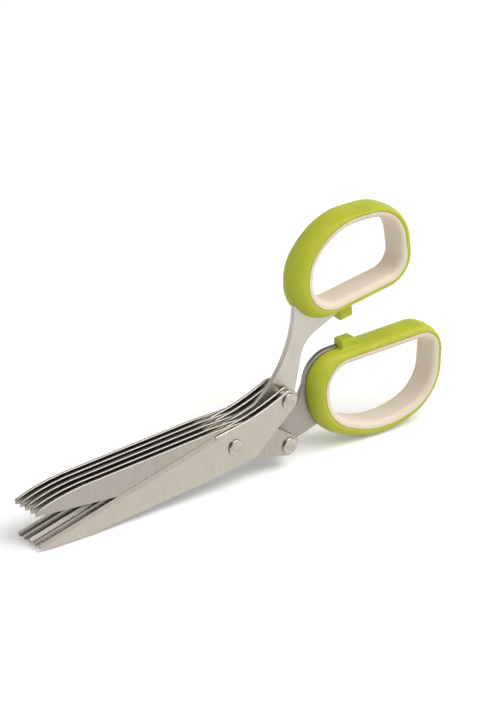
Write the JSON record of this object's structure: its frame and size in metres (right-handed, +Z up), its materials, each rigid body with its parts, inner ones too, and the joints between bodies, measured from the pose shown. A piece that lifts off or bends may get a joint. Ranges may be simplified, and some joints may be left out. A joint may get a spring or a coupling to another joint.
{
  "type": "herb scissors",
  "caption": "Multi-blade kitchen scissors: stacked pairs of bevelled blades on one pivot rivet, closed by a rounded thumb loop and a longer finger loop.",
  "frame": {"origin": "on the table, under the middle of the bounding box", "axes": "+X from the blade tips to the finger loops, +Y across the blades towards the back of the stack, +Z up from the table; the scissors stand on edge as in the picture, blades open"},
  "size_m": [0.2038, 0.0174, 0.1017],
  "materials": {
    "brushed_blade_steel": "brushed",
    "rivet_steel": "satin",
    "lime_grip": "satin",
    "cream_liner": "matte"
  },
  "bodies": {
    "finger_lever": {"upper_centre_blade": "brushed_blade_steel", "upper_blade_1": "brushed_blade_steel", "upper_blade_2": "brushed_blade_steel", "upper_blade_4": "brushed_blade_steel", "upper_blade_5": "brushed_blade_steel", "finger_spacer_1": "rivet_steel", "finger_spacer_2": "rivet_steel", "finger_spacer_3": "rivet_steel", "finger_spacer_4": "rivet_steel", "finger_tail_rivet": "rivet_steel", "finger_grip": "lime_grip", "finger_liner": "cream_liner", "pivot_rivet": "rivet_steel", "pivot_washer_1": "rivet_steel", "pivot_washer_2": "rivet_steel", "pivot_washer_3": "rivet_steel", "pivot_washer_4": "rivet_steel"},
    "thumb_lever": {"lower_centre_blade": "brushed_blade_steel", "lower_blade_1": "brushed_blade_steel", "lower_blade_2": "brushed_blade_steel", "lower_blade_4": "brushed_blade_steel", "lower_blade_5": "brushed_blade_steel", "thumb_spacer_1": "rivet_steel", "thumb_spacer_2": "rivet_steel", "thumb_spacer_3": "rivet_steel", "thumb_spacer_4": "rivet_steel", "thumb_tail_rivet": "rivet_steel", "thumb_grip": "lime_grip", "thumb_liner": "cream_liner"}
  },
  "joints": [
    {"name": "pivot", "type": "hinge", "parent": "finger_lever", "child": "thumb_lever", "pos_m": [-0.00611, 0.00003, 0.01781], "axis": [0, -1, 0], "range_deg": [-8.6, 45]}
  ]
}
